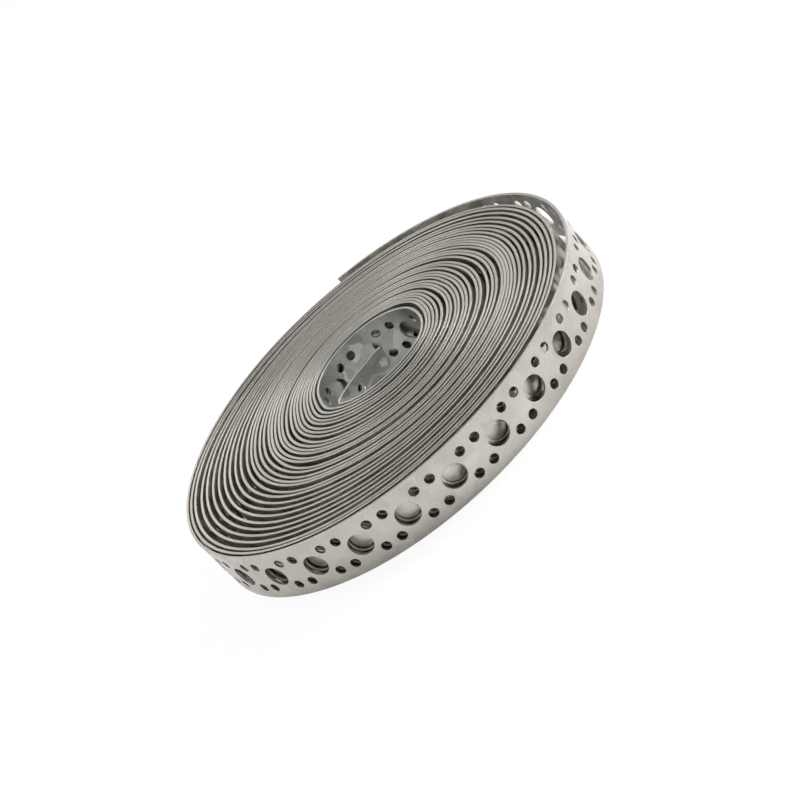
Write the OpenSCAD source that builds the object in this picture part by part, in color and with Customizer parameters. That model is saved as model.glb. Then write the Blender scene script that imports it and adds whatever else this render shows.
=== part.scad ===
// Roll of perforated steel fixing strap, lying flat on one end.
// One continuous strap, wound into a tight pack with a bore. Its last turn stands loose round the pack and
// stops at a square cut end. Its first end springs out of the wound turns and stands across the bore.
// The wound pack is one turned solid, and its turns show as rings on both ends.
// The origin is the middle of the roll's box, on the lower end face. +Z runs up along the bore.

/* [Strap] */
// Width of the strap, which is the height of the roll
strap_width = 20; // [17:0.5:40]
// Thickness of the strap
strap_thickness = 1.0; // [0.5:0.05:1.2]

/* [Perforation] */
// Distance between two large holes along the strap
hole_pitch = 18.6; // [15:0.1:26]
// Diameter of the large holes on the centre line
large_hole_d = 8.4; // [5:0.1:10.5]
// Diameter of the small holes in the two outer rows
small_hole_d = 3.4; // [2:0.1:4.5]
// Distance along the strap from a large hole to the small holes on either side of it
small_hole_step = 6.2; // [5:0.1:7.5]
// Distance of each row of small holes from the centre line
small_hole_row = 5.05; // [4:0.05:6]

/* [Pack] */
// Diameter of the bore
bore_d = 45.6; // [36:0.2:60]
// Number of wound turns in the pack
turn_count = 31; // [8:1:32]
// Depth of the gaps between the turns on the end faces
turn_gap_depth = 2.5; // [0.5:0.1:2.8]
// Offset of the bore from the middle of the loose turn, in X
bore_offset_x = 3.6; // [-6:0.1:6]
// Offset of the bore from the middle of the loose turn, in Y
bore_offset_y = 8.8; // [-10:0.1:10]

/* [Loose outer turn] */
// Outside diameter of the loose turn
loose_turn_d = 167.2; // [150:0.2:210]
// Narrowest gap between the loose turn and the pack
loose_gap_narrow = 1.6; // [1.4:0.1:3]
// Widest gap between the loose turn and the pack
loose_gap_wide = 5.0; // [3.2:0.1:7]
// Direction in which the gap is narrowest
loose_gap_narrow_angle = 225; // [215:1:255]
// Direction of the cut end
cut_end_angle = 80; // [60:1:100]
// Direction in which the turn leaves its circle and closes down on the pack
closing_start_angle = 210; // [195:1:220]
// Direction in which the turn meets the pack
closing_end_angle = 50; // [40:1:56]
// Distance from the cut end to the first large hole
cut_end_margin = 8.2; // [6:0.1:12]

/* [Inner end] */
// Direction in which the inner end leaves the bore's wall
inner_root_angle = 222; // [205:1:240]
// Straight distance from the bore's wall to the inner end's tip
inner_end_reach = 26.5; // [15:0.5:30]
// Direction in which the inner end points
inner_end_heading = 30; // [25:1:45]
// Bend radius of the inner end
inner_end_bend_r = 48; // [30:1:120]
// Distance from the tip to the first large hole, so that the cut halves a pair of small holes
inner_end_margin = 6.2; // [5:0.1:9]

/* [Hidden] */
$fn = 128;

// Sides of a hole, which is small beside the turns
hole_fn = 28;
// Overlap of a cutting tool with the face that it starts from
cut_over = 1;
// Angle by which the cuts beside the closing arc run on past its start, where they remove nothing more
closing_overrun = 15;
// Number of straight sides at the rim of a wedge
wedge_steps = 8;
quarter_turn = 90;
half_turn = 180;
full_turn = 360;
deg_per_rad = 180 / PI;

over_top = strap_width + cut_over;
// A small hole whose centre lies this far beyond a cut end still notches it
small_hole_overhang = small_hole_d / 4;
bore_r = bore_d / 2;
loose_r = loose_turn_d / 2;
loose_inner_r = loose_r - strap_thickness;
loose_mid_r = loose_r - strap_thickness / 2;
// A wedge's rim lies at twice the loose turn's radius, clear of the roll
wedge_reach = 2 * loose_r;

// Places in the plan are counted from the middle of the loose turn
loose_centre = [0, 0];
bore_centre = [bore_offset_x, bore_offset_y];

// The pack fills the loose turn except for the crescent gap
pack_r = loose_inner_r - (loose_gap_wide + loose_gap_narrow) / 2;
pack_centre = loose_centre
    + (loose_gap_wide - loose_gap_narrow) / 2 * direction(loose_gap_narrow_angle);
turn_step = (pack_r - bore_r) / turn_count;

// The closing arc leaves the loose turn's circle at closing_start_angle and touches the pack from outside at
// closing_end_angle, so its centre is on the line through the pack's centre and that touching point
closing_start = loose_centre + loose_r * direction(closing_start_angle) - pack_centre;
closing_back = direction(closing_end_angle + half_turn);
closing_growth = (closing_start * closing_start - pack_r * pack_r)
    / (2 * (closing_start * closing_back + pack_r));
closing_r = pack_r + closing_growth;
closing_centre = pack_centre + closing_growth * closing_back;
closing_mid_r = closing_r - strap_thickness / 2;
closing_from = angle_of(loose_centre + loose_r * direction(closing_start_angle) - closing_centre);

// Lengths of strap along the loose turn and along the closing arc
loose_sweep = cut_end_angle + full_turn - closing_start_angle;
loose_length = loose_sweep / deg_per_rad * loose_mid_r;
closing_length = (closing_from - cut_end_angle) / deg_per_rad * closing_mid_r;

// The roll's box runs from the closing arc's left-hand side and the loose turn's lowest point to the loose
// turn's right-hand side and whichever stands higher, its cut end or the closing arc
box_left = closing_centre.x - closing_r;
box_back = max(loose_r * sin(min(cut_end_angle, quarter_turn)), closing_centre.y + closing_r);
box_middle = [(loose_r + box_left) / 2, (box_back - loose_r) / 2];

// The inner end is an arc of strap from the bore's wall to its tip
inner_root = bore_centre + (bore_r + strap_thickness / 2) * direction(inner_root_angle);
inner_half_sweep = asin(inner_end_reach / 2 / inner_end_bend_r);
inner_sweep = 2 * inner_half_sweep;
inner_start_angle = inner_end_heading + inner_half_sweep + quarter_turn;
inner_arc_centre = inner_root - inner_end_bend_r * direction(inner_start_angle);
inner_length = inner_sweep / deg_per_rad * inner_end_bend_r;

function direction(angle) = [cos(angle), sin(angle)];
function angle_of(v) = (atan2(v.y, v.x) + full_turn) % full_turn;
function turn_centre(i) = bore_centre + i / turn_count * (pack_centre - bore_centre);
function turn_inner_r(i) = bore_r + i * turn_step;

// A disc from some way under the lower end face to a given height
module disc(centre, r, under, top) {
    translate([centre.x, centre.y, -under]) cylinder(h = under + top, r = r);
}

// A wedge of the space round the loose turn's middle, between two directions
module wedge(from_angle, to_angle, top) {
    step = (to_angle - from_angle) / wedge_steps;
    rim = [for (i = [0:wedge_steps]) wedge_reach * direction(from_angle + i * step)];
    translate([0, 0, -cut_over]) linear_extrude(cut_over + top) polygon(concat([loose_centre], rim));
}

// A round hole that runs straight outwards from a centre, between two radii, at a height above mid-width
module radial_hole(centre, angle, from_r, to_r, d, row) {
    translate([centre.x, centre.y, strap_width / 2 + row])
        rotate([0, 0, angle])
            translate([from_r, 0, 0])
                rotate([0, 90, 0]) cylinder(h = to_r - from_r, d = d, $fn = hole_fn);
}

// One repeat of the perforation: a large hole, and on each side of it two small holes.
// The large hole lies at a length along the strap that is counted at radius r from start_angle on.
module hole_repeat(centre, r, start_angle, turning, at, from_r, to_r, length) {
    if (at > 0 && at < length)
        radial_hole(centre, start_angle + turning * at / r * deg_per_rad, from_r, to_r, large_hole_d, 0);
    for (side = [-1, 1], row = [-small_hole_row, small_hole_row]) {
        small_at = at + side * small_hole_step;
        if (small_at > -small_hole_overhang && small_at < length)
            radial_hole(centre, start_angle + turning * small_at / r * deg_per_rad,
                        from_r, to_r, small_hole_d, row);
    }
}

// The perforation along one stretch of strap; first is the place of its first large hole
module hole_row(centre, r, start_angle, turning, first, from_r, to_r, length) {
    repeats = ceil((length - first) / hole_pitch);
    for (i = [0:repeats])
        hole_repeat(centre, r, start_angle, turning, first + i * hole_pitch, from_r, to_r, length);
}

// The gap between two turns, open at the lower end face
module turn_gap(i) {
    difference() {
        disc(turn_centre(i + 1), turn_inner_r(i + 1), cut_over, turn_gap_depth);
        disc(turn_centre(i), turn_inner_r(i) + strap_thickness, 2 * cut_over, turn_gap_depth + cut_over);
    }
}

// The narrowing gap between the closing strap and the pack, open at the lower end face
module closing_gap() {
    difference() {
        intersection() {
            disc(closing_centre, closing_r - strap_thickness, cut_over, turn_gap_depth);
            disc(loose_centre, loose_inner_r, cut_over, turn_gap_depth);
            wedge(cut_end_angle, closing_start_angle + closing_overrun, turn_gap_depth);
        }
        disc(pack_centre, pack_r, 2 * cut_over, turn_gap_depth + cut_over);
    }
}

// The crescent of space between the loose turn and the pack, right through the roll
module loose_gap() {
    intersection() {
        difference() {
            disc(loose_centre, loose_inner_r, cut_over, over_top);
            disc(pack_centre, pack_r, 2 * cut_over, over_top + cut_over);
        }
        wedge(closing_start_angle, cut_end_angle + full_turn, over_top);
    }
}

// The space outside the closing strap, from the cut end on
module outside_closing() {
    difference() {
        wedge(cut_end_angle, closing_start_angle + closing_overrun, over_top);
        disc(closing_centre, closing_r, 2 * cut_over, over_top + cut_over);
    }
}

// A cut made at both end faces
module at_both_ends() {
    children();
    translate([0, 0, strap_width]) mirror([0, 0, 1]) children();
}

// The wound turns with the bore, the strap that closes down on them, and the loose turn
module turns() {
    difference() {
        disc(loose_centre, loose_r, 0, strap_width);
        disc(bore_centre, bore_r, cut_over, over_top);
        loose_gap();
        outside_closing();
        for (i = [0:turn_count - 2]) at_both_ends() turn_gap(i);
        at_both_ends() closing_gap();
    }
}

// The strap's first end, which springs out of the bore's wall
module inner_end() {
    translate(inner_arc_centre)
        rotate([0, 0, inner_start_angle - inner_sweep])
            rotate_extrude(angle = inner_sweep)
                translate([inner_end_bend_r - strap_thickness / 2, 0])
                    square([strap_thickness, strap_width]);
}

// Holes of the loose turn and the closing arc, as deep as the next turn behind them
module outer_holes() {
    hole_row(loose_centre, loose_mid_r, cut_end_angle, -1, cut_end_margin,
             loose_r - turn_step, loose_r + cut_over, loose_length);
    closing_first = hole_pitch - (loose_length - cut_end_margin) % hole_pitch;
    hole_row(closing_centre, closing_mid_r, closing_from, -1, closing_first,
             closing_r - turn_step, closing_r + cut_over, closing_length);
}

// Holes of the innermost turn and of the inner end
module inner_holes() {
    first_past_root = inner_end_margin - inner_length
        + hole_pitch * ceil((inner_length - inner_end_margin + large_hole_d) / hole_pitch);
    hole_row(bore_centre, bore_r, inner_root_angle, 1, first_past_root,
             bore_r - large_hole_d / 2, bore_r + turn_step, 2 * PI * bore_r - large_hole_d);
    hole_row(inner_arc_centre, inner_end_bend_r, inner_start_angle - inner_sweep, 1, inner_end_margin,
             inner_end_bend_r - strap_thickness, inner_end_bend_r + strap_thickness,
             inner_length - large_hole_d / 2);
}

module strap() {
    color("#A8A59C") translate([-box_middle.x, -box_middle.y, 0]) difference() {
        union() {
            turns();
            inner_end();
        }
        outer_holes();
        inner_holes();
    }
}

strap();
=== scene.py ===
"""Roll of perforated galvanised steel strap: the finished looks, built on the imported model's frame.

The roll is one strap. It is laid out flat as repeats of its perforation, and then wound along a centreline:
a loose outer turn with a square cut end, the wound turns with their uneven slack, and the inner end that
stands across the bore. All sizes are in millimetres until a mesh is made.
"""

import logging
import math
from collections.abc import Callable
from dataclasses import dataclass, field
from enum import Enum
from functools import partial
from typing import Any

import bpy
import numpy as np
from mathutils import Matrix, Vector
from mathutils.geometry import delaunay_2d_cdt


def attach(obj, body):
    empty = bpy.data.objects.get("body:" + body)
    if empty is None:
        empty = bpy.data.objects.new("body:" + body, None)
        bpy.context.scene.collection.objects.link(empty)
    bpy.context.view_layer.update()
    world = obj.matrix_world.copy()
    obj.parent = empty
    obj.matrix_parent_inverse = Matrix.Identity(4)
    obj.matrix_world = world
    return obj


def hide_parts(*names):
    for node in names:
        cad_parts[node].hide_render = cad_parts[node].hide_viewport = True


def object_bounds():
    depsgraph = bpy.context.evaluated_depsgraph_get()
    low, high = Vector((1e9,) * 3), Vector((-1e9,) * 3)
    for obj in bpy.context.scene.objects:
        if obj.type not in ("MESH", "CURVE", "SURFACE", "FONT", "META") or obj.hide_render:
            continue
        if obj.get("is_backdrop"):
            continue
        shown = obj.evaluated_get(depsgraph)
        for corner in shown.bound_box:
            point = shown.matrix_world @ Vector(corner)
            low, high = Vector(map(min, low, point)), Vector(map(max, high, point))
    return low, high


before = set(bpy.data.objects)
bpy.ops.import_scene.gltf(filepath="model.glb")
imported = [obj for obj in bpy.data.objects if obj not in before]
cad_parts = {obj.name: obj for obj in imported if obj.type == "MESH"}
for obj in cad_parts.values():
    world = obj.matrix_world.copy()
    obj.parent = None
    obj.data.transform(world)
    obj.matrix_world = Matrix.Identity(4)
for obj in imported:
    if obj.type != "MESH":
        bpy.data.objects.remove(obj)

MM = 0.001
PER_METRE = 1 / MM
FULL_TURN = 360.0
UV_NAME = "along_the_strap"
WHITE = "#FFFFFF"
LOG = logging.getLogger("strap_roll")

# Two places nearer than this, in mm, are one, and so many decimals tell two places apart
SAME = 1e-6
DECIMALS = 6

# A hole's place along the strap, height and radius, and a curve's places and values
Hole = tuple[float, float, float]
Marks = tuple[tuple[float, float], ...]


class Detail(Enum):
    """How finely holes are cut: the sides of a large hole, and those of a small one."""

    FINE = (40, 20)
    PLAIN = (16, 8)


class WearAndPaintedLight(Enum):
    """Which copy of the zinc face a stretch takes: handled outside, or copies painted lighter between the
    turns and in the bore.
    """

    HANDLED = "handled"
    SHELTERED = "sheltered"
    FRESH = "fresh"


class Surface(Enum):
    """Which material slot of a piece a face belongs to."""

    FACE = 0
    CUT = 1
    BACK = 2


class Bearing(Enum):
    """The directions at which the slack between turns is given, in degrees round the roll."""

    BACK_RIGHT = 45.0
    RIGHT = 350.0
    FRONT = 285.0
    FRONT_LEFT = 225.0
    LEFT = 180.0
    BACK = 115.0


def linear(colour: str, alpha: float = 1.0) -> tuple[float, float, float, float]:
    """Turns an sRGB hex colour to linear, by the standard's own curve.

    Args:
        colour: The colour as "#rrggbb".
        alpha: The alpha to put after it.

    Returns:
        Red, green and blue in linear light, and alpha.
    """
    parts = [int(colour[i : i + 2], 16) / 255 for i in (1, 3, 5)]
    red, green, blue = [p / 12.92 if p <= 0.04045 else ((p + 0.055) / 1.055) ** 2.4 for p in parts]
    return (red, green, blue, alpha)


def unit(angle: float | np.ndarray) -> np.ndarray:
    """Gives the unit vectors of directions in the plan, which are in degrees, on a new last axis."""
    turned = np.radians(angle)
    return np.stack([np.cos(turned), np.sin(turned)], axis=-1)


def run_along(line: np.ndarray) -> np.ndarray:
    """Measures the distance along a line in the plan from its start to each of its points."""
    return np.concatenate([[0.0], np.cumsum(np.hypot(*np.diff(line, axis=0).T))])


def smooth_step(value: np.ndarray, low: float, high: float) -> np.ndarray:
    """Rises smoothly from 0 at low to 1 at high."""
    share = np.clip((value - low) / (high - low), 0, 1)
    return share * share * (3 - 2 * share)


def monotone_curve(at: np.ndarray, places: np.ndarray, values: np.ndarray) -> np.ndarray:
    """Interpolates without overshoot, with a smooth slope (Fritsch-Carlson).

    Args:
        at: Where the curve is wanted.
        places: Rising places of the given values.
        values: The values there.

    Returns:
        The curve's values at each wanted place.
    """
    step = np.diff(places)
    slope = np.diff(values) / step
    tangent = np.zeros_like(values)
    same_way = slope[:-1] * slope[1:] > 0
    w1, w2 = 2 * step[1:] + step[:-1], step[1:] + 2 * step[:-1]
    safe = np.where(same_way, slope[:-1], 1.0), np.where(same_way, slope[1:], 1.0)
    tangent[1:-1] = np.where(same_way, (w1 + w2) / (w1 / safe[0] + w2 / safe[1]), 0.0)
    i = np.clip(np.searchsorted(places, at, side="right") - 1, 0, len(step) - 1)
    t = np.clip((at - places[i]) / step[i], 0, 1)
    t2, t3 = t * t, t * t * t
    return (
        (2 * t3 - 3 * t2 + 1) * values[i]
        + (t3 - 2 * t2 + t) * step[i] * tangent[i]
        + (3 * t2 - 2 * t3) * values[i + 1]
        + (t3 - t2) * step[i] * tangent[i + 1]
    )


def put_in(name: str, data: bpy.types.ID) -> bpy.types.Object:
    """Puts a new object with this mesh, camera or lamp in the scene."""
    made = bpy.data.objects.new(name, data)
    bpy.context.scene.collection.objects.link(made)
    return made


@dataclass(frozen=True)
class StrapStock:
    """The flat strap as it is slit and punched, in mm.

    A repeat holds one large hole on the centre line and two small holes on each side of it, in two rows. The
    corners of the slit edges and the rims of the holes are slightly rounded. The margins run from the two
    ends of the strap to the middle of the large hole next to each.
    """

    width: float = 20.0
    thickness: float = 1.0
    pitch: float = 18.6
    large_radius: float = 4.2
    small_radius: float = 1.7
    small_step: float = 6.2
    small_row: float = 5.05
    corner: float = 0.08
    rim: float = 0.1
    start_margin: float = 8.2
    end_margin: float = 9.0

    @property
    def half_pitch(self) -> float:
        """Half a repeat's length."""
        return self.pitch / 2

    def holes(self) -> list[Hole]:
        """Lists a repeat's holes.

        Returns:
            Place along the repeat from its middle, height on the strap, and radius of each hole.
        """
        middle = self.width / 2
        small = [
            (side * self.small_step, middle + row * self.small_row, self.small_radius)
            for side in (-1, 1)
            for row in (-1, 1)
        ]
        return [(0.0, middle, self.large_radius), *small]


class FlatPatch:
    """Collects the points and triangles of flat strap.

    Its axes run along the strap (u), across it (v) and through its thickness (w).
    """

    def __init__(self) -> None:
        """Starts an empty patch."""
        self.places: list[np.ndarray] = []
        self.normals: list[np.ndarray] = []
        self.corners: list[np.ndarray] = []
        self.surfaces: list[np.ndarray] = []
        self.count = 0

    def points(self, flat: np.ndarray, depth: float, normal: np.ndarray) -> np.ndarray:
        """Adds points at one depth.

        Args:
            flat: Their u and v.
            depth: Their w.
            normal: One normal for all of them, or one each.

        Returns:
            The new points' numbers.
        """
        n = len(flat)
        self.places.append(np.column_stack([flat, np.full(n, depth)]))
        self.normals.append(np.broadcast_to(np.asarray(normal, float), (n, 3)))
        self.count += n
        return np.arange(self.count - n, self.count)

    def triangles(self, corners: np.ndarray, surface: Surface) -> None:
        """Adds triangles, which are turned the right way round later.

        Args:
            corners: Three point numbers each.
            surface: Which finish they take.
        """
        corners = np.asarray(corners, int).reshape(-1, 3)
        self.corners.append(corners)
        self.surfaces.append(np.full(len(corners), surface.value))

    def band(self, one: np.ndarray, other: np.ndarray, closed: bool, surface: Surface) -> None:
        """Joins two rows of as many points with triangles.

        Args:
            one: Point numbers of the first row.
            other: Point numbers of the second row.
            closed: Whether the rows' ends are joined too.
            surface: Which finish the band takes.
        """
        n = len(one) if closed else len(one) - 1
        i = np.arange(n)
        j = (i + 1) % len(one)
        first = np.column_stack([one[i], one[j], other[j]])
        second = np.column_stack([one[i], other[j], other[i]])
        self.triangles(np.vstack([first, second]), surface)


class StrapCell:
    """One repeat of flat strap as a mesh template, from start to stop about its large hole's middle."""

    # Points up a face's two ends, which meet those of the next repeat, and points along its two edges
    COLUMN = 9
    ROW = 9
    # Room kept between a half hole and the next point of the end, in mm
    NOTCH_ROOM = 0.3
    # Points spread over a face: rows and step, and the room from its start, stop, edges and holes, in mm
    GRID_ROWS = 9
    GRID_STEP = 2.1
    START_ROOM, STOP_ROOM, EDGE_ROOM, HOLE_ROOM = 1.1, 0.8, 1.6, 0.7
    # What the triangulation is told to keep: only what lies inside the outline
    INSIDE = 1

    def __init__(self, stock: StrapStock, detail: Detail, start: float, stop: float) -> None:
        """Builds the template.

        Args:
            stock: The strap's sizes.
            detail: How finely its holes are cut.
            start: Where the template starts, in mm from the large hole's middle.
            stop: Where it stops.
        """
        self.stock = stock
        self.sides = detail.value
        self.start, self.stop = start, stop
        self.patch = FlatPatch()
        self.left = np.zeros(0, int)
        self.right = np.zeros(0, int)
        self.ends: dict[bool, np.ndarray] = {}
        self._build()
        self.places = np.vstack(self.patch.places)
        self.normals = np.vstack(self.patch.normals)
        self.corners = self._turned(np.vstack(self.patch.corners))
        self.surfaces = np.concatenate(self.patch.surfaces)

    def _turned(self, corners: np.ndarray) -> np.ndarray:
        """Turns each triangle so that it faces out once the strap is wound, which mirrors the flat patch."""
        a, b, c = (self.places[corners[:, k]] for k in range(3))
        facing = np.einsum("ij,ij->i", np.cross(b - a, c - a), self.normals[corners].sum(1))
        return np.where((facing > 0)[:, None], corners[:, ::-1], corners)

    def _sides_of(self, radius: float) -> int:
        """Gives the number of sides that a hole of this radius is cut with."""
        return self.sides[0] if radius == self.stock.large_radius else self.sides[1]

    def _ring(self, hole: Hole) -> tuple[np.ndarray, bool]:
        """Gives the directions of a hole's sides, and whether the hole is whole.

        Args:
            hole: The hole.

        Returns:
            Unit vectors from the hole's middle, and True if the hole isn't halved by the strap's end.
        """
        along, _, radius = hole
        sides = self._sides_of(radius)
        whole = along < self.stop - radius / 2
        if whole:
            return unit(np.arange(sides) * FULL_TURN / sides), whole
        return unit(270 - np.arange(sides // 2 + 1) * FULL_TURN / sides), whole

    def _outline(self, notches: list[np.ndarray]) -> np.ndarray:
        """Gives the face's outline inside the rounded corners, with half holes at its far end.

        Args:
            notches: Each half hole's points, from its lower to its upper end.

        Returns:
            The outline's points in order.
        """
        low, high = self.stock.corner, self.stock.width - self.stock.corner
        along = np.linspace(self.start, self.stop, self.ROW)
        column = np.linspace(low, high, self.COLUMN)
        up: list[np.ndarray] = [np.array([[self.stop, v]]) for v in column]
        for notch in notches:
            bottom, top = notch[0, 1], notch[-1, 1]
            low_end, high_end = bottom - self.NOTCH_ROOM, top + self.NOTCH_ROOM
            up = [p for p in up if len(p) > 1 or not low_end < p[0, 1] < high_end] + [notch]
        up.sort(key=lambda p: p[0, 1])
        lower = np.column_stack([along[:-1], np.full(self.ROW - 1, low)])
        upper = np.column_stack([along[::-1][1:], np.full(self.ROW - 1, high)])
        down = np.column_stack([np.full(self.COLUMN - 2, self.start), column[::-1][1:-1]])
        return np.vstack([lower, *up, upper, down])

    def _spread(self) -> np.ndarray:
        """Gives points between the holes, so that the face bends evenly.

        Returns:
            The points, clear of the holes and of the outline.
        """
        u, v = np.meshgrid(
            np.arange(self.start + self.START_ROOM, self.stop - self.STOP_ROOM, self.GRID_STEP),
            np.linspace(self.EDGE_ROOM, self.stock.width - self.EDGE_ROOM, self.GRID_ROWS),
        )
        grid = np.column_stack([u.ravel(), v.ravel()])
        for along, height, radius in self.stock.holes():
            grid = grid[np.hypot(grid[:, 0] - along, grid[:, 1] - height) > radius + self.HOLE_ROOM]
        return grid

    def _build(self) -> None:
        """Makes both faces, the holes' walls with their rims, and the slit edges."""
        stock, patch = self.stock, self.patch
        half = stock.thickness / 2
        whole: list[tuple[Hole, np.ndarray]] = []
        halved: list[tuple[Hole, np.ndarray]] = []
        for hole in stock.holes():
            if hole[0] - hole[2] > self.stop:
                continue
            ring, is_whole = self._ring(hole)
            (whole if is_whole else halved).append((hole, ring))

        def around(hole: Hole, ring: np.ndarray, extra: float) -> np.ndarray:
            """Gives a ring's points at a hole's radius and a little more."""
            return np.array(hole[:2]) + ring * (hole[2] + extra)

        notches = [around(h, r, stock.rim) for h, r in halved]
        outline = self._outline(notches)
        rings = [around(h, r, stock.rim) for h, r in whole]
        inner = self._spread()
        flat = np.vstack([outline, *rings, inner])
        edges: list[tuple[int, int]] = []
        first = 0
        loops: list[np.ndarray] = []
        for loop in (outline, *rings):
            n = len(loop)
            loops.append(np.arange(first, first + n))
            edges += [(first + i, first + (i + 1) % n) for i in range(n)]
            first += n
        made = delaunay_2d_cdt([Vector(p) for p in flat], edges, [], self.INSIDE, SAME)
        flat_out = np.array([(p.x, p.y) for p in made[0]])
        number = np.zeros(len(flat), int)
        for new, olds in enumerate(made[3]):
            for old in olds:
                number[old] = new
        triangles = np.array(made[2])
        for along, height, radius in stock.holes():
            away = flat_out[triangles].mean(1) - (along, height)
            inside = (radius + stock.rim) * math.cos(math.pi / self._sides_of(radius))
            triangles = triangles[np.hypot(*away.T) > inside]

        # The two faces, and the cut surface between their outlines wherever the strap was slit or punched
        front = patch.points(flat_out, half, (0, 0, 1))
        back = patch.points(flat_out, -half, (0, 0, -1))
        patch.triangles(front[triangles], Surface.FACE)
        patch.triangles(back[triangles], Surface.BACK)
        front, back = front[number], back[number]
        for k, (hole, ring) in enumerate(whole):
            loop = loops[k + 1]
            self._cut(around(hole, ring, 0.0), -ring, half - stock.rim, front[loop], back[loop], True)
        place = {tuple(np.round(p, DECIMALS)): i for i, p in enumerate(outline)}
        for (hole, ring), notch in zip(halved, notches):
            row = np.array([place[tuple(np.round(p, DECIMALS))] for p in notch])
            self._cut(around(hole, ring, 0.0), -ring, half - stock.rim, front[row], back[row], False)

        corner = (self.stop, stock.width - stock.corner)
        upper_start = next(i for i, p in enumerate(outline) if np.allclose(p, corner))
        lower = np.arange(self.ROW)
        upper = np.arange(upper_start, upper_start + self.ROW)
        slit: list[np.ndarray] = []
        for row, height, facing in ((lower, 0.0, -1), (upper[::-1], stock.width, 1)):
            line = np.column_stack([outline[row, 0], np.full(self.ROW, height)])
            facings = np.tile((0, facing), (self.ROW, 1))
            slit += self._cut(line, facings, half - stock.corner, front[row], back[row], False)
        up = np.arange(self.ROW - 1, upper_start + 1)
        down = np.concatenate([[0], np.arange(len(outline) - 1, upper[-1] - 1, -1)])
        self.left = np.concatenate([front[down], back[down], [row[0] for row in slit]])
        self.right = np.concatenate([front[up], back[up], [row[-1] for row in slit]])
        self.ends = {True: outline[down], False: outline[up]}

    def _cut(
        self, flat: np.ndarray, facing: np.ndarray, depth: float, front: np.ndarray, back: np.ndarray,
        closed: bool,
    ) -> tuple[np.ndarray, np.ndarray]:
        """Makes a punched wall or a slit edge, with a small rounding at each face.

        Args:
            flat: The cut surface's points.
            facing: Which way it faces at each, as unit vectors.
            depth: How far from the strap's middle the rounding starts.
            front: Numbers of the points beside it on the front face.
            back: Numbers of those on the back face.
            closed: Whether it runs all the way round a hole.

        Returns:
            The cut surface's own two rows of point numbers.
        """
        normals = np.column_stack([facing, np.zeros(len(facing))])
        near, far = (self.patch.points(flat, w, normals) for w in (depth, -depth))
        for one, other in ((front, near), (near, far), (far, back)):
            self.patch.band(one, other, closed, Surface.CUT)
        return near, far

    def close(self, at_start: bool) -> None:
        """Closes the strap's cut end, leaving half holes open.

        Args:
            at_start: True for the template's start, False for its stop.
        """
        column = self.ends[at_start]
        half, corner = self.stock.thickness / 2, self.stock.corner
        along = self.start if at_start else self.stop
        heights = np.unique(np.round(column[np.abs(column[:, 0] - along) < SAME][:, 1], DECIMALS))
        runs: list[list[float]] = [[heights[0]]]
        for low, high in zip(heights[:-1], heights[1:]):
            if any(abs(h[0] - along) < SAME and low < h[1] < high for h in self.stock.holes()):
                runs.append([high])
            else:
                runs[-1].append(high)
        patch = FlatPatch()
        normal = (-1 if at_start else 1, 0, 0)
        for run in runs:
            flat = np.column_stack([np.full(len(run), along), run])
            near, far = patch.points(flat, half, normal), patch.points(flat, -half, normal)
            patch.band(near, far, False, Surface.CUT)
            for height, k, facing in ((0.0, 0, -1), (self.stock.width, -1, 1)):
                if abs(run[k] - (height - facing * corner)) < SAME:
                    tip = np.array([[along, height]])
                    one = patch.points(tip, half - corner, normal)
                    other = patch.points(tip, corner - half, normal)
                    patch.triangles([[near[k], one[0], other[0]], [near[k], other[0], far[k]]], Surface.CUT)
        corners = np.vstack(patch.corners) + len(self.places)
        self.places = np.vstack([self.places, *patch.places])
        self.normals = np.vstack([self.normals, *patch.normals])
        self.corners = np.vstack([self.corners, self._turned(corners)])
        self.surfaces = np.concatenate([self.surfaces, *patch.surfaces])


@dataclass(frozen=True)
class InnerEnd:
    """The strap's first end, which the winding mandrel held: it folds off the bore's wall and stands across.

    Its headings give the direction in which it runs, in degrees, against the distance from the fold, in mm.
    """

    root_angle: float = 203.0
    fold_radius: float = 3.0
    length: float = 24.5
    headings: Marks = (
        (0.0, 42.0), (5.0, 33.0), (10.0, 23.0), (14.0, 17.0),
        (17.0, 17.0), (20.0, 19.0), (23.0, 6.0), (24.5, 0.0),
    )

    def course(self, heading: float, step: float) -> np.ndarray:
        """Gives the end's line in the plan, from the wall on.

        Args:
            heading: The direction in which the strap comes along the wall, in degrees.
            step: The distance between two points.

        Returns:
            The points' offsets from the last point on the wall.
        """
        first = self.headings[0][1]
        fold = math.radians((heading - first) % FULL_TURN) * self.fold_radius
        along = np.arange(step, fold + self.length, step)
        marks = np.array(self.headings)
        straight = monotone_curve(along - fold, marks[:, 0], marks[:, 1])
        folded = heading - (heading - first) * smooth_step(along, 0.0, fold)
        way = unit(np.where(along < fold, folded, straight))
        return np.cumsum(way * step, axis=0)


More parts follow.
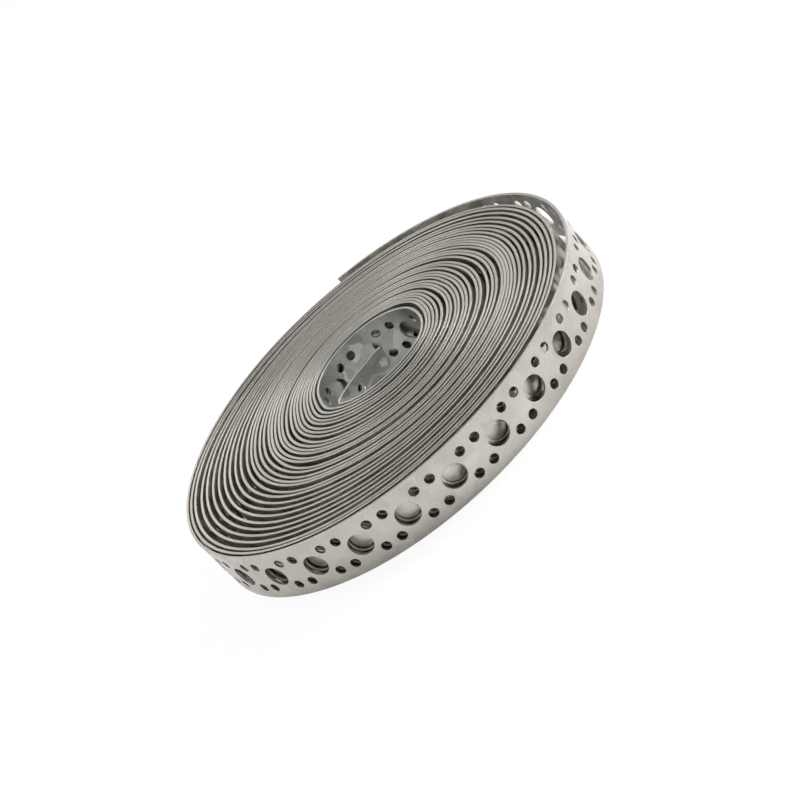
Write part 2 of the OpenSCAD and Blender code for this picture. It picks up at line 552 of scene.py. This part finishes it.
@dataclass
class Winding:
    """The strap's line in the plan, from its cut end inwards, in mm about the loose outer turn's middle.

    The outer course gives the radius of the strap's outer face against degrees swept from the cut end, for
    the two outermost turns. The bore's profile gives its wall's distance from its centre by direction. Slack
    is the room between a turn and the next one in. It is given for every turn at six directions, because
    the roll has sprung open to the left and front, and is still tight at the back.
    """

    turns: int = 31
    start_angle: float = 80.0
    loose_radius: float = 83.6
    outer_course: Marks = (
        (0.0, 83.6), (230.0, 83.6), (246.0, 83.2), (264.0, 82.6), (290.0, 81.9), (320.0, 80.6),
        (340.0, 79.4), (360.0, 78.5), (395.0, 78.0), (420.0, 77.8), (455.0, 78.2), (470.0, 78.8),
        (485.0, 79.5), (500.0, 80.1), (530.0, 80.6), (560.0, 81.2), (585.0, 81.5), (610.0, 81.1),
        (640.0, 79.9), (670.0, 78.4), (700.0, 77.1), (720.0, 76.7),
    )
    bore_centre: tuple[float, float] = (3.6, 8.8)
    bore_profile: Marks = (
        (0.0, 21.6), (30.0, 21.6), (60.0, 21.9), (90.0, 22.3), (120.0, 22.8), (150.0, 22.8),
        (180.0, 22.6), (208.0, 24.0), (225.0, 24.0), (240.0, 24.2), (262.0, 24.0), (285.0, 24.2),
        (309.0, 24.6), (321.0, 24.0), (337.0, 22.8),
    )
    slack: dict[Bearing, tuple[float, ...]] = field(
        default_factory=lambda: {
            Bearing.BACK_RIGHT: (
                0.3, 1.3, 1.3, 0.5, 0.8, 0.2, 0.4, 0.6, 0.3, 0.2, 0.2, 0.7, 0.3, 0.2, 0.4,
                1.1, 0.2, 0.2, 0.8, 0.2, 0.2, 0.8, 0.2, 0.2, 0.8, 0.2, 0.2, 0.3, 0.2, 1.8,
            ),
            Bearing.RIGHT: (
                0.8, 1.0, 1.1, 1.4, 1.2, 1.1, 1.0, 0.9, 0.4, 0.3, 0.2, 0.2, 1.5, 0.5, 1.2,
                2.0, 0.5, 1.8, 0.9, 0.4, 0.9, 0.4, 0.9, 0.4, 1.6, 1.2, 0.7, 0.6, 0.4, 1.0,
            ),
            Bearing.FRONT: (
                0.4, 1.2, 0.6, 1.7, 0.8, 2.2, 1.0, 0.6, 1.2, 0.5, 1.5, 0.4, 0.9, 1.1, 0.3,
                2.2, 0.5, 1.7, 0.5, 0.5, 1.4, 0.5, 1.9, 1.3, 1.4, 0.5, 0.8, 2.2, 1.0, 1.2,
            ),
            Bearing.FRONT_LEFT: (
                0.6, 1.9, 1.8, 1.6, 1.7, 2.0, 1.8, 1.7, 1.8, 0.5, 2.2, 0.4, 0.7, 1.4, 0.5,
                2.4, 0.3, 1.5, 0.4, 0.7, 0.6, 1.8, 1.1, 0.8, 1.6, 0.8, 1.0, 0.8, 0.8, 0.8,
            ),
            Bearing.LEFT: (
                0.9, 1.9, 1.6, 1.8, 1.7, 1.8, 1.5, 1.6, 1.6, 1.8, 1.3, 0.7, 1.1, 1.1, 1.3,
                0.4, 0.6, 0.9, 0.4, 0.8, 1.2, 0.9, 0.5, 0.6, 0.9, 0.4, 0.7, 0.8, 1.0, 1.2,
            ),
            Bearing.BACK: (
                0.4, 1.5, 0.4, 1.2, 0.4, 0.4, 0.7, 0.8, 0.6, 0.8, 0.4, 0.4, 0.8, 0.4, 0.3,
                0.4, 0.5, 0.3, 0.4, 1.1, 0.3, 0.3, 0.3, 0.4, 0.3, 0.3, 0.4, 0.3, 0.9, 0.5,
            ),
        }
    )
    inner_end: InnerEnd = field(default_factory=InnerEnd)

    # Distance between the line's points and the reach over which its kinks are eased, in mm
    STEP = 0.2
    EASING = 4.0
    # Parts that a turn is laid out in, and the bore wall's step in degrees
    PARTS = 2000
    WALL_STEP = 0.5
    # The least slack, in thicknesses, and where the wall makes room for the inner end, in degrees
    LEAST_SLACK = 0.05
    LEAD, TRAIL = 20.0, 70.0
    # Points back from the root over which the strap's heading is taken
    HEADING_POINTS = 5

    def _slack_at(self, swept: np.ndarray, thickness: float) -> np.ndarray:
        """Gives the slack under the strap at each angle swept from its cut end.

        Args:
            swept: Degrees swept, from one full turn on.
            thickness: The strap's thickness, which sets the least slack.

        Returns:
            The slack before it is scaled to fill the pack.
        """
        nodes = sorted(
            (FULL_TURN * (k + 1) + (self.start_angle - bearing.value) % FULL_TURN, room)
            for bearing, rooms in self.slack.items()
            for k, room in enumerate(rooms)
        )
        places, rooms = np.array(nodes).T
        places = np.concatenate([[0.0], places, [places[-1] + 2 * FULL_TURN]])
        rooms = np.concatenate([[rooms[0]], rooms, [rooms[-1]]])
        return np.maximum(monotone_curve(swept, places, rooms), self.LEAST_SLACK * thickness)

    def _wall(self, angle: np.ndarray) -> np.ndarray:
        """Gives the bore wall's distance from the loose turn's middle in each direction.

        Args:
            angle: The directions, in degrees.

        Returns:
            The distances to the innermost turn's middle surface.
        """
        marks = np.array(self.bore_profile)
        bearings = np.concatenate([marks[:, 0] - FULL_TURN, marks[:, 0], marks[:, 0] + FULL_TURN])
        radii = np.tile(marks[:, 1], 3)
        fine = np.arange(0, FULL_TURN, self.WALL_STEP)
        places = np.array(self.bore_centre) + unit(fine) * monotone_curve(fine, bearings, radii)[:, None]
        angles = np.degrees(np.arctan2(places[:, 1], places[:, 0])) % FULL_TURN
        order = np.argsort(angles)
        return np.interp(angle % FULL_TURN, angles[order], np.hypot(*places[order].T), period=FULL_TURN)

    def line(self, stock: StrapStock) -> np.ndarray:
        """Lays out the strap's whole line.

        Args:
            stock: The strap's sizes.

        Returns:
            Points an even step apart, from the cut end to the inner end's tip.
        """
        t = stock.thickness
        swept = np.arange(self.PARTS) * FULL_TURN / self.PARTS
        angle = self.start_angle - swept
        marks = np.array(self.outer_course)
        outer = monotone_curve(swept, *marks.T) - t / 2
        first = monotone_curve(swept + FULL_TURN, *marks.T) - t / 2
        wall = self._wall(angle)

        # The turns share out the room between the first of them and the bore's wall, and the first one's
        # course is brought to where its own share ends
        inner_gaps = self.turns - 1
        at_start = FULL_TURN * np.arange(1, self.turns + 1)
        rooms = self._slack_at(at_start, t)
        scale = (first[0] - wall[0] - inner_gaps * t) / rooms[:-1].sum()
        drop = t + scale * rooms[0] - (first[0] - (marks[-1, 1] - t / 2))
        first = first - drop * smooth_step(swept, 0.0, FULL_TURN)
        last = t + scale * rooms[-1]
        root = (self.start_angle - self.inner_end.root_angle) % FULL_TURN
        wall = wall - last * smooth_step(swept, root - self.LEAD, min(root + self.TRAIL, FULL_TURN))

        gaps = np.array([self._slack_at(swept + FULL_TURN * k, t) for k in range(1, self.turns)])
        share = (first - wall - inner_gaps * t) / gaps.sum(0)
        radii = [outer, first]
        for gap in gaps:
            radii.append(radii[-1] - t - share * gap)
        radius = np.concatenate(radii)
        whole = np.arange(len(radius)) * FULL_TURN / self.PARTS
        keep = whole <= FULL_TURN * self.turns + root
        plan = unit(self.start_angle - whole[keep]) * radius[keep][:, None]
        return self._with_end(self._even(plan))

    def _even(self, plan: np.ndarray) -> np.ndarray:
        """Spaces a line's points evenly and eases its kinks.

        Args:
            plan: The line's points.

        Returns:
            Points one step apart.
        """
        run = run_along(plan)
        at = np.arange(0, run[-1], self.STEP)
        even = np.column_stack([np.interp(at, run, plan[:, k]) for k in (0, 1)])
        reach = int(self.EASING / self.STEP)
        weights = np.hanning(2 * reach + 1)
        weights /= weights.sum()
        eased = np.column_stack([np.convolve(even[:, k], weights, mode="same") for k in (0, 1)])
        eased[:reach], eased[-reach:] = even[:reach], even[-reach:]
        return eased

    def _with_end(self, plan: np.ndarray) -> np.ndarray:
        """Adds the inner end to the wound line.

        Args:
            plan: The wound line's points, up to the root of the inner end.

        Returns:
            The whole line's points.
        """
        way = plan[-1] - plan[-1 - self.HEADING_POINTS]
        heading = math.degrees(math.atan2(way[1], way[0]))
        return np.vstack([plan, plan[-1] + self.inner_end.course(heading, self.STEP)])


@dataclass(frozen=True)
class Finish:
    """What every finish of the roll shares: one helper that adds a node, and one that starts a material."""

    name: str

    @staticmethod
    def node(tree: bpy.types.NodeTree, kind: str, links: dict[Any, Any], **settings: Any) -> bpy.types.Node:
        """Adds a node with its settings and links.

        Args:
            tree: The material's node tree.
            kind: The node's type.
            links: What goes into each input, by its name or number: a node, for its first output, or one of
                its outputs, or a value.
            **settings: The node's own settings.

        Returns:
            The node.
        """
        made = tree.nodes.new(kind)
        for key, value in settings.items():
            setattr(made, key, value)
        for key, value in links.items():
            value = value.outputs[0] if isinstance(value, bpy.types.Node) else value
            if isinstance(value, bpy.types.NodeSocket):
                tree.links.new(value, made.inputs[key])
            else:
                made.inputs[key].default_value = value
        return made

    def start(self) -> tuple[bpy.types.Material, Callable[..., bpy.types.Node]]:
        """Starts an empty material.

        Returns:
            The material, and what adds a node to it.
        """
        material = bpy.data.materials.new(self.name)
        material.use_nodes = True
        material.node_tree.nodes.clear()
        return material, partial(self.node, material.node_tree)


@dataclass(frozen=True)
class GalvanisedFace(Finish):
    """Hot-dip galvanised mild steel strip, cold rolled and then slit.

    The zinc freezes in crystals of some millimetres, and each mirrors the room a little differently, so the
    face looks patchy close to. The rolls leave fine lines along the strap, and handling leaves dull scuffs.
    Crystals, the wander of their ragged borders, clouds of dullness, specks and lines are given by size in
    mm, and facet is how far a crystal tilts. The lines are coarser than real ones, so that they show.
    """

    name: str = "galvanised_face"
    pale: str = "#CAC5BE"
    dull: str = "#A6A29B"
    scuffed: str = "#6F6C66"
    crystal: float = 5.0
    wander: float = 2.0
    ragged: float = 3.0
    facet: float = 0.14
    contrast: float = 0.25
    roughness: float = 0.24
    rough_spread: float = 0.1
    cloud: float = 100 / 9
    speck: float = 10 / 9
    speck_start: float = 0.66
    speck_whole: float = 0.78
    scuff: float = 0.6
    line: float = 0.25
    line_length: float = 100 / 3
    line_depth: float = 0.02

    def material(self) -> bpy.types.Material:
        """Makes the material.

        Returns:
            The material, whose patterns follow the strap's own length and width.
        """
        material, node = self.start()
        place = node("ShaderNodeUVMap", {}, uv_map=UV_NAME).outputs["UV"]
        wandering, clouds, specks = (
            node("ShaderNodeTexNoise", {"Vector": place, "Scale": PER_METRE / size, "Detail": detail})
            for size, detail in ((self.wander, 2.0), (self.cloud, 4.0), (self.speck, 3.0))
        )
        wander, ragged = wandering.outputs["Color"], (self.ragged * MM, self.ragged * MM, 0.0)
        shifted = node("ShaderNodeVectorMath", {0: wander, 1: ragged, 2: place}, operation="MULTIPLY_ADD")
        crystals = node(
            "ShaderNodeTexVoronoi", {"Vector": shifted, "Scale": PER_METRE / self.crystal},
            voronoi_dimensions="2D",
        ).outputs["Color"]
        split = node("ShaderNodeSeparateColor", {"Color": crystals}).outputs
        cloudy = clouds.outputs["Fac"]
        tone = node("ShaderNodeMix", {"Factor": self.contrast, "A": cloudy, "B": split["Red"]})
        pale, dull, scuffed = linear(self.pale), linear(self.dull), linear(self.scuffed)
        colour = node("ShaderNodeMix", {"Factor": tone, 6: pale, 7: dull}, data_type="RGBA")
        speck = node(
            "ShaderNodeMapRange",
            {"Value": specks.outputs["Fac"], "From Min": self.speck_start, "From Max": self.speck_whole,
             "To Max": self.scuff},
        )
        worn = node("ShaderNodeMix", {"Factor": speck, 6: colour.outputs[2], 7: scuffed}, data_type="RGBA")
        rough = node(
            "ShaderNodeMath", {0: split["Green"], 1: self.rough_spread, 2: self.roughness},
            operation="MULTIPLY_ADD",
        )
        normal = node("ShaderNodeNewGeometry", {}).outputs["Normal"]
        most, least = (self.facet,) * 3, (-self.facet / 2,) * 3
        tilt = node("ShaderNodeVectorMath", {0: crystals, 1: most, 2: least}, operation="MULTIPLY_ADD")
        tilted = node("ShaderNodeVectorMath", {0: normal, 1: tilt}, operation="ADD")
        faced = node("ShaderNodeVectorMath", {0: tilted}, operation="NORMALIZE")
        drawn_out = (PER_METRE / self.line_length, PER_METRE / self.line, 1.0)
        stretched = node("ShaderNodeVectorMath", {0: place, 1: drawn_out}, operation="MULTIPLY")
        lines = node("ShaderNodeTexNoise", {"Vector": stretched, "Scale": 1.0, "Detail": 3.0}).outputs["Fac"]
        bump = node(
            "ShaderNodeBump",
            {"Height": lines, "Distance": self.line_depth * MM, "Strength": 0.5, "Normal": faced},
        )
        shader = node(
            "ShaderNodeBsdfPrincipled",
            {"Base Color": worn.outputs[2], "Metallic": 1.0, "Roughness": rough, "Normal": bump},
        )
        node("ShaderNodeOutputMaterial", {"Surface": shader})
        return material


@dataclass(frozen=True)
class CutSteel(Finish):
    """The slit edges and punched holes: sheared steel with a little zinc drawn over it.

    Shearing leaves fine marks across the edge, the way the slitting wheels cut. So its shine spreads along
    the strap, and the wound edges light up in sectors. The band is warmer and duller than the zinc faces. A
    mark's size and depth, and the length of the tone's slow drift, are in mm. Drawn is how far the shine is
    drawn out.
    """

    name: str = "slit_edge"
    bright: str = "#CBC6BF"
    warm: str = "#ABA59C"
    mark: float = 0.8
    mark_depth: float = 0.03
    roughness: float = 0.26
    rough_spread: float = 0.2
    drift: float = 500 / 7
    drawn: float = 0.75

    def material(self) -> bpy.types.Material:
        """Makes the material.

        Returns:
            The material, whose shine spreads along the strap.
        """
        material, node = self.start()
        place = node("ShaderNodeUVMap", {}, uv_map=UV_NAME).outputs["UV"]
        marks, drift = (
            node("ShaderNodeTexNoise", {"Vector": place, "Scale": PER_METRE / size, "Detail": detail})
            for size, detail in ((self.mark, 3.0), (self.drift, 2.0))
        )
        marks, drift = marks.outputs["Fac"], drift.outputs["Fac"]
        tone = node("ShaderNodeMath", {0: marks, 1: 0.5, 2: drift}, operation="MULTIPLY_ADD")
        share = node("ShaderNodeMapRange", {"Value": tone, "From Min": 0.5, "From Max": 1.0})
        bright, warm = linear(self.bright), linear(self.warm)
        colour = node("ShaderNodeMix", {"Factor": share, 6: bright, 7: warm}, data_type="RGBA")
        rough = node(
            "ShaderNodeMath", {0: marks, 1: self.rough_spread, 2: self.roughness}, operation="MULTIPLY_ADD"
        )
        along = node("ShaderNodeTangent", {}, direction_type="UV_MAP", uv_map=UV_NAME)
        bump = node("ShaderNodeBump", {"Height": marks, "Distance": self.mark_depth * MM, "Strength": 0.6})
        shader = node(
            "ShaderNodeBsdfPrincipled",
            {"Base Color": colour.outputs[2], "Metallic": 1.0, "Roughness": rough, "Normal": bump,
             "Tangent": along, "Anisotropic": self.drawn},
        )
        node("ShaderNodeOutputMaterial", {"Surface": shader})
        return material


@dataclass(frozen=True)
class PaleFloor(Finish):
    """Matt white studio board: it shows white, seen or mirrored in the metal, and keeps the roll's shadow.

    Under the wound turns it is only lit board, so that the gaps between them are as dark as real ones. What
    the metal mirrors of it turns to white with the distance from the roll's foot, where the board is shaded.
    The radii are in mm about the middle.
    """

    name: str = "white_board"
    board: str = "#F4F4F3"
    shown: float = 0.89
    dark_radius: float = 79.0
    white_radius: float = 82.5
    mirrored_radius: float = 150.0
    middle: tuple[float, float] = (0.0, 0.0)

    def material(self) -> bpy.types.Material:
        """Makes the material.

        Returns:
            The material, part of whose white is its own where the camera or the metal sees it.
        """
        material, node = self.start()
        path = node("ShaderNodeLightPath", {}).outputs
        mirrored = node(
            "ShaderNodeMath", {0: path["Is Glossy Ray"], 1: path["Is Transmission Ray"]}, operation="MAXIMUM"
        )
        place = node("ShaderNodeNewGeometry", {}).outputs["Position"]
        middle = (self.middle[0] * MM, self.middle[1] * MM, 0.0)
        away = node("ShaderNodeVectorMath", {0: place, 1: middle}, operation="DISTANCE").outputs["Value"]
        shares = []
        for ray, low, high in (
            (path["Is Camera Ray"], self.dark_radius, self.white_radius),
            (mirrored, self.white_radius, self.mirrored_radius),
        ):
            outside = node(
                "ShaderNodeMapRange",
                {"Value": away, "From Min": low * MM, "From Max": high * MM, "To Max": self.shown},
                interpolation_type="SMOOTHSTEP",
            )
            shares.append(node("ShaderNodeMath", {0: ray, 1: outside}, operation="MULTIPLY"))
        share = node("ShaderNodeMath", {0: shares[0], 1: shares[1]}, operation="MAXIMUM")
        matt = node("ShaderNodeBsdfDiffuse", {"Color": linear(self.board)})
        white = node("ShaderNodeEmission", {"Color": linear(WHITE), "Strength": 1.0})
        mixed = node("ShaderNodeMixShader", {0: share, 1: matt, 2: white})
        node("ShaderNodeOutputMaterial", {"Surface": mixed})
        return material


class WoundStrap:
    """The whole strap: its flat repeats, wound along its line and cut into pieces of a workable size."""

    # Distance by which the patterns of the inner face are set off from those of the outer one, in mm
    BACK_FACE = 100.0

    def __init__(self, stock: StrapStock, winding: Winding, middle: Vector) -> None:
        """Lays the strap out.

        Args:
            stock: The strap's sizes.
            winding: Its line in the plan.
            middle: The loose turn's middle in the row frame, in mm, at the height of the lower end face.
        """
        self.stock, self.winding = stock, winding
        self.middle = np.array(middle)
        self.line = winding.line(stock)
        self.run = run_along(self.line)
        way = np.gradient(self.line, self.run, axis=0)
        self.way = way / np.hypot(*way.T)[:, None]
        margins = stock.start_margin + stock.end_margin
        self.repeats = round((self.run[-1] - margins) / stock.pitch)
        self.stretch = self.run[-1] / (margins + self.repeats * stock.pitch)
        self.edges = CutSteel().material()
        # The bore and the strap's inner faces take a paler, cooler copy of the zinc face, painted lighter so
        # that they look lit.
        inside = GalvanisedFace(
            "galvanised_face_inside_painted_pale", pale="#DDDED9", dull="#8E928E", facet=0.12, contrast=0.45,
            roughness=0.3,
        ).material()
        # The packed turns take a paler, warmer copy of the zinc face, painted lighter to lift the shade in
        # the gaps between them.
        between = GalvanisedFace(
            "galvanised_face_between_painted_lift", pale="#D8D3CA", dull="#B6B0A6", roughness=0.32
        ).material()
        self.faces = {
            WearAndPaintedLight.HANDLED: (GalvanisedFace().material(), inside),
            WearAndPaintedLight.SHELTERED: (between, between),
            WearAndPaintedLight.FRESH: (inside, inside),
        }
        self.templates: dict[tuple[Detail, float, float], StrapCell] = {}

    def template(self, index: int, detail: Detail) -> StrapCell:
        """Gives the template for one repeat.

        Args:
            index: The repeat's number, from the outer cut end.
            detail: How finely its holes are cut.

        Returns:
            The template, cut short at the strap's two ends.
        """
        stock = self.stock
        start = -stock.start_margin if index == 0 else -stock.half_pitch
        stop = stock.end_margin if index == self.repeats else stock.half_pitch
        key = (detail, start, stop)
        if key not in self.templates:
            cell = StrapCell(stock, detail, start, stop)
            if index == 0:
                cell.close(at_start=True)
            if index == self.repeats:
                cell.close(at_start=False)
            self.templates[key] = cell
        return self.templates[key]

    def wound(self, flat: np.ndarray, normals: np.ndarray) -> tuple[np.ndarray, np.ndarray]:
        """Winds flat points along the line.

        Args:
            flat: Points as run along the strap, height and depth.
            normals: Their normals in the same axes.

        Returns:
            The points in the row frame in mm, and their normals.
        """
        x, y = (np.interp(flat[:, 0], self.run, self.line[:, k]) for k in (0, 1))
        way = np.column_stack([np.interp(flat[:, 0], self.run, self.way[:, k]) for k in (0, 1)])
        way /= np.hypot(*way.T)[:, None]
        out = np.column_stack([-way[:, 1], way[:, 0]])
        places = np.column_stack([x + out[:, 0] * flat[:, 2], y + out[:, 1] * flat[:, 2], flat[:, 1]])
        turned = np.column_stack([
            way[:, 0] * normals[:, 0] + out[:, 0] * normals[:, 2],
            way[:, 1] * normals[:, 0] + out[:, 1] * normals[:, 2],
            normals[:, 1],
        ])
        return places + self.middle, turned

    def piece(self, name: str, first: int, last: int, detail: Detail, wear_and_painted_light: WearAndPaintedLight) -> bpy.types.Object:
        """Builds the strap's repeats from first up to, and not including, last as one piece.

        Args:
            name: The piece's name.
            first: The first repeat.
            last: The repeat after the last one.
            detail: How finely the holes are cut.
            wear_and_painted_light: Which copies of the zinc face its two faces take: the handled one, or
                copies painted lighter.

        Returns:
            The piece, dressed and riding on its body.
        """
        flats, normals, corners, surfaces = [], [], [], []
        count, seam = 0, np.zeros(0, int)
        for index in range(first, last):
            cell = self.template(index, detail)
            number = np.full(len(cell.places), -1)
            if len(seam):
                number[cell.left] = seam
            new = number < 0
            number[new] = np.arange(count, count + new.sum())
            count += int(new.sum())
            seam = number[cell.right]
            flat = cell.places[new].copy()
            flat[:, 0] += self.stock.start_margin + index * self.stock.pitch
            flat[:, 0] *= self.stretch
            flats.append(flat)
            normals.append(cell.normals[new])
            corners.append(number[cell.corners])
            surfaces.append(cell.surfaces)
        flat, faces = np.vstack(flats), np.vstack(corners)
        places, turned = self.wound(flat, np.vstack(normals))
        piece = self._dressed(name, flat, places * MM, turned, faces, np.concatenate(surfaces))
        front, back = self.faces[wear_and_painted_light]
        for finish in (front, self.edges, back):
            piece.data.materials.append(finish)
        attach(piece, "root")
        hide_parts("strap")
        LOG.info("%s: %d triangles", name, len(faces))
        return piece

    def _dressed(
        self, name: str, flat: np.ndarray, places: np.ndarray, normals: np.ndarray, faces: np.ndarray,
        surfaces: np.ndarray,
    ) -> bpy.types.Object:
        """Makes the Blender object from its points and faces.

        Args:
            name: The piece's name.
            flat: Each point's run, height and depth, which the patterns follow.
            places: The points in the row frame, in metres.
            normals: Their normals.
            faces: Three point numbers each.
            surfaces: Each face's material slot.

        Returns:
            The piece, with no finish yet.
        """
        mesh = bpy.data.meshes.new(name)
        mesh.vertices.add(len(places))
        mesh.vertices.foreach_set("co", places.astype(np.float32).ravel())
        mesh.loops.add(faces.size)
        mesh.loops.foreach_set("vertex_index", faces.astype(np.int32).ravel())
        mesh.polygons.add(len(faces))
        mesh.polygons.foreach_set("loop_start", np.arange(0, faces.size, 3, dtype=np.int32))
        mesh.polygons.foreach_set("material_index", surfaces.astype(np.int32))
        mesh.update(calc_edges=True)
        mesh.shade_smooth()
        across = flat[:, 1] + np.where(flat[:, 2] < 0, self.BACK_FACE, 0.0)
        spots = np.column_stack([flat[:, 0], across])[faces.ravel()] * MM
        mesh.uv_layers.new(name=UV_NAME).data.foreach_set("uv", spots.astype(np.float32).ravel())
        mesh.normals_split_custom_set_from_vertices(normals.tolist())
        return put_in(name, mesh)

    def repeat_at(self, turns: float) -> int:
        """Gives the number of the repeat that lies some turns from the outer cut end."""
        angle = np.unwrap(np.arctan2(self.line[:, 1], self.line[:, 0]))
        swept = np.concatenate([[0.0], np.cumsum(np.maximum(-np.diff(angle), 0.0))])
        place = np.interp(turns * 2 * math.pi, swept, self.run)
        return int(place / self.stretch / self.stock.pitch)


@dataclass(frozen=True)
class Studio:
    """A white board under soft light, and the camera that looks down on the roll with its frame turned.

    The camera's tilt and roll are in degrees, and its distance and aim in mm. What it sees lies between
    nearest and furthest, and these and the floor's side are in metres. The wall's two heights are sines of
    the angle above the horizon: white up to the first, and gone at the second.
    """

    tilt: float = 24.61
    roll: float = 43.07
    distance: float = 691.4
    aim_right: float = 0.33
    aim_up: float = 2.76
    lens: float = 90.18
    sensor: float = 36.0
    nearest: float = 0.05
    furthest: float = 100.0
    floor_size: float = 60.0
    wall_white: float = 0.21
    wall_top: float = 0.25
    room: str = "#D8DADB"
    room_light: float = 0.58

    def camera(self, middle: np.ndarray) -> None:
        """Sets the camera up.

        Args:
            middle: The loose turn's middle on the floor, in mm.
        """
        tilt, roll = math.radians(self.tilt), math.radians(self.roll)
        ahead = Vector((0, math.cos(tilt), -math.sin(tilt)))
        right, up = Vector((1, 0, 0)), Vector((0, math.sin(tilt), math.cos(tilt)))
        turned_right = right * math.cos(roll) - up * math.sin(roll)
        turned_up = right * math.sin(roll) + up * math.cos(roll)
        place = Vector(middle) - ahead * self.distance + right * self.aim_right + up * self.aim_up
        lens = bpy.data.cameras.new("camera")
        lens.lens, lens.sensor_width = self.lens, self.sensor
        lens.clip_start, lens.clip_end = self.nearest, self.furthest
        camera = put_in("camera", lens)
        axes = Matrix((turned_right, turned_up, -ahead)).transposed().to_4x4()
        camera.matrix_world = Matrix.Translation(place * MM) @ axes
        bpy.context.scene.camera = camera

    def floor(self, middle: np.ndarray) -> None:
        """Lays the board that the roll lies on.

        Args:
            middle: The loose turn's middle on the floor, in mm.
        """
        mesh = bpy.data.meshes.new("floor")
        half = self.floor_size / 2
        rim = [(-half, -half, 0), (half, -half, 0), (half, half, 0), (-half, half, 0)]
        mesh.from_pydata(rim, [], [(0, 1, 2, 3)])
        mesh.materials.append(PaleFloor(middle=(middle[0], middle[1])).material())
        put_in("floor", mesh)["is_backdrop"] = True

    def lamp(self, name: str, place: tuple[float, float, float], size: float, watts: float) -> None:
        """Adds a square soft light aimed at the roll.

        Args:
            name: The lamp's name.
            place: Where it is, in metres.
            size: Its side, in metres.
            watts: Its power.
        """
        light = bpy.data.lights.new(name, "AREA")
        light.size, light.energy = size, watts
        lamp = put_in(name, light)
        lamp.location = place
        lamp.rotation_mode = "QUATERNION"
        lamp.rotation_quaternion = (-Vector(place)).to_track_quat("-Z", "Y")

    def world(self) -> None:
        """Fills the room with soft light, above a low white wall that is seen and mirrored as white."""
        world = bpy.data.worlds.new("room")
        bpy.context.scene.world = world
        world.use_nodes = True
        world.node_tree.nodes.clear()
        node = partial(Finish.node, world.node_tree)
        path = node("ShaderNodeLightPath", {}).outputs
        seen = path["Is Camera Ray"]
        for ray in (path["Is Glossy Ray"], path["Is Transmission Ray"]):
            seen = node("ShaderNodeMath", {0: seen, 1: ray}, operation="MAXIMUM")
        ways = node("ShaderNodeTexCoord", {}).outputs["Generated"]
        height = node("ShaderNodeSeparateXYZ", {0: ways}).outputs["Z"]
        wall = node(
            "ShaderNodeMapRange", {"Value": height, "From Min": self.wall_top, "From Max": self.wall_white},
            interpolation_type="SMOOTHSTEP",
        )
        share = node("ShaderNodeMath", {0: seen, 1: wall}, operation="MULTIPLY")
        room = node("ShaderNodeBackground", {"Color": linear(self.room), "Strength": self.room_light})
        white = node("ShaderNodeBackground", {"Color": linear(WHITE), "Strength": 1.0})
        mixed = node("ShaderNodeMixShader", {0: share, 1: room, 2: white})
        node("ShaderNodeOutputWorld", {"Surface": mixed})


# Turns whose faces show, counted from the outer cut end and from the bore
OUTER_SHOWING, INNER_SHOWING = 2.1, 2.5


def main() -> None:
    """Builds the roll and its studio."""
    logging.basicConfig(level=logging.INFO, format="%(name)s %(message)s")
    cad_low, cad_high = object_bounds()
    winding, stock = Winding(), StrapStock()
    reach = winding.loose_radius
    middle = Vector((cad_high.x / MM - reach, cad_low.y / MM + reach, cad_low.z / MM))
    strap = WoundStrap(stock, winding, middle)
    LOG.info("strap of %.0f mm, %d repeats, stretch %.5f", strap.run[-1], strap.repeats, strap.stretch)
    outer, inner = strap.repeat_at(OUTER_SHOWING), strap.repeat_at(winding.turns - INNER_SHOWING)
    third = (inner - outer) // 3
    strap.piece("strap_outer_turns", 0, outer, Detail.FINE, WearAndPaintedLight.HANDLED)
    strap.piece("strap_pack_outer", outer, outer + third, Detail.PLAIN, WearAndPaintedLight.SHELTERED)
    strap.piece("strap_pack_middle", outer + third, outer + 2 * third, Detail.PLAIN, WearAndPaintedLight.SHELTERED)
    strap.piece("strap_pack_inner", outer + 2 * third, inner, Detail.PLAIN, WearAndPaintedLight.SHELTERED)
    strap.piece("strap_inner_turns", inner, strap.repeats + 1, Detail.FINE, WearAndPaintedLight.FRESH)

    studio = Studio()
    studio.camera(strap.middle)
    studio.floor(strap.middle)
    studio.lamp("overhead", (-0.1, 0.33, 1.4), 1.2, 11.0)
    studio.lamp("right_side", (1.0, 0.15, 0.5), 0.6, 12.0)
    studio.lamp("left_side", (-1.1, -0.5, 0.5), 0.8, 3.0)
    studio.lamp("back_right", (1.15, 0.6, 0.8), 0.5, 5.0)
    studio.lamp("back_left", (-0.55, 0.85, 1.3), 0.4, 5.5)
    studio.world()
    bpy.context.scene.view_settings.view_transform = "Standard"


if __name__ == "__main__":
    main()
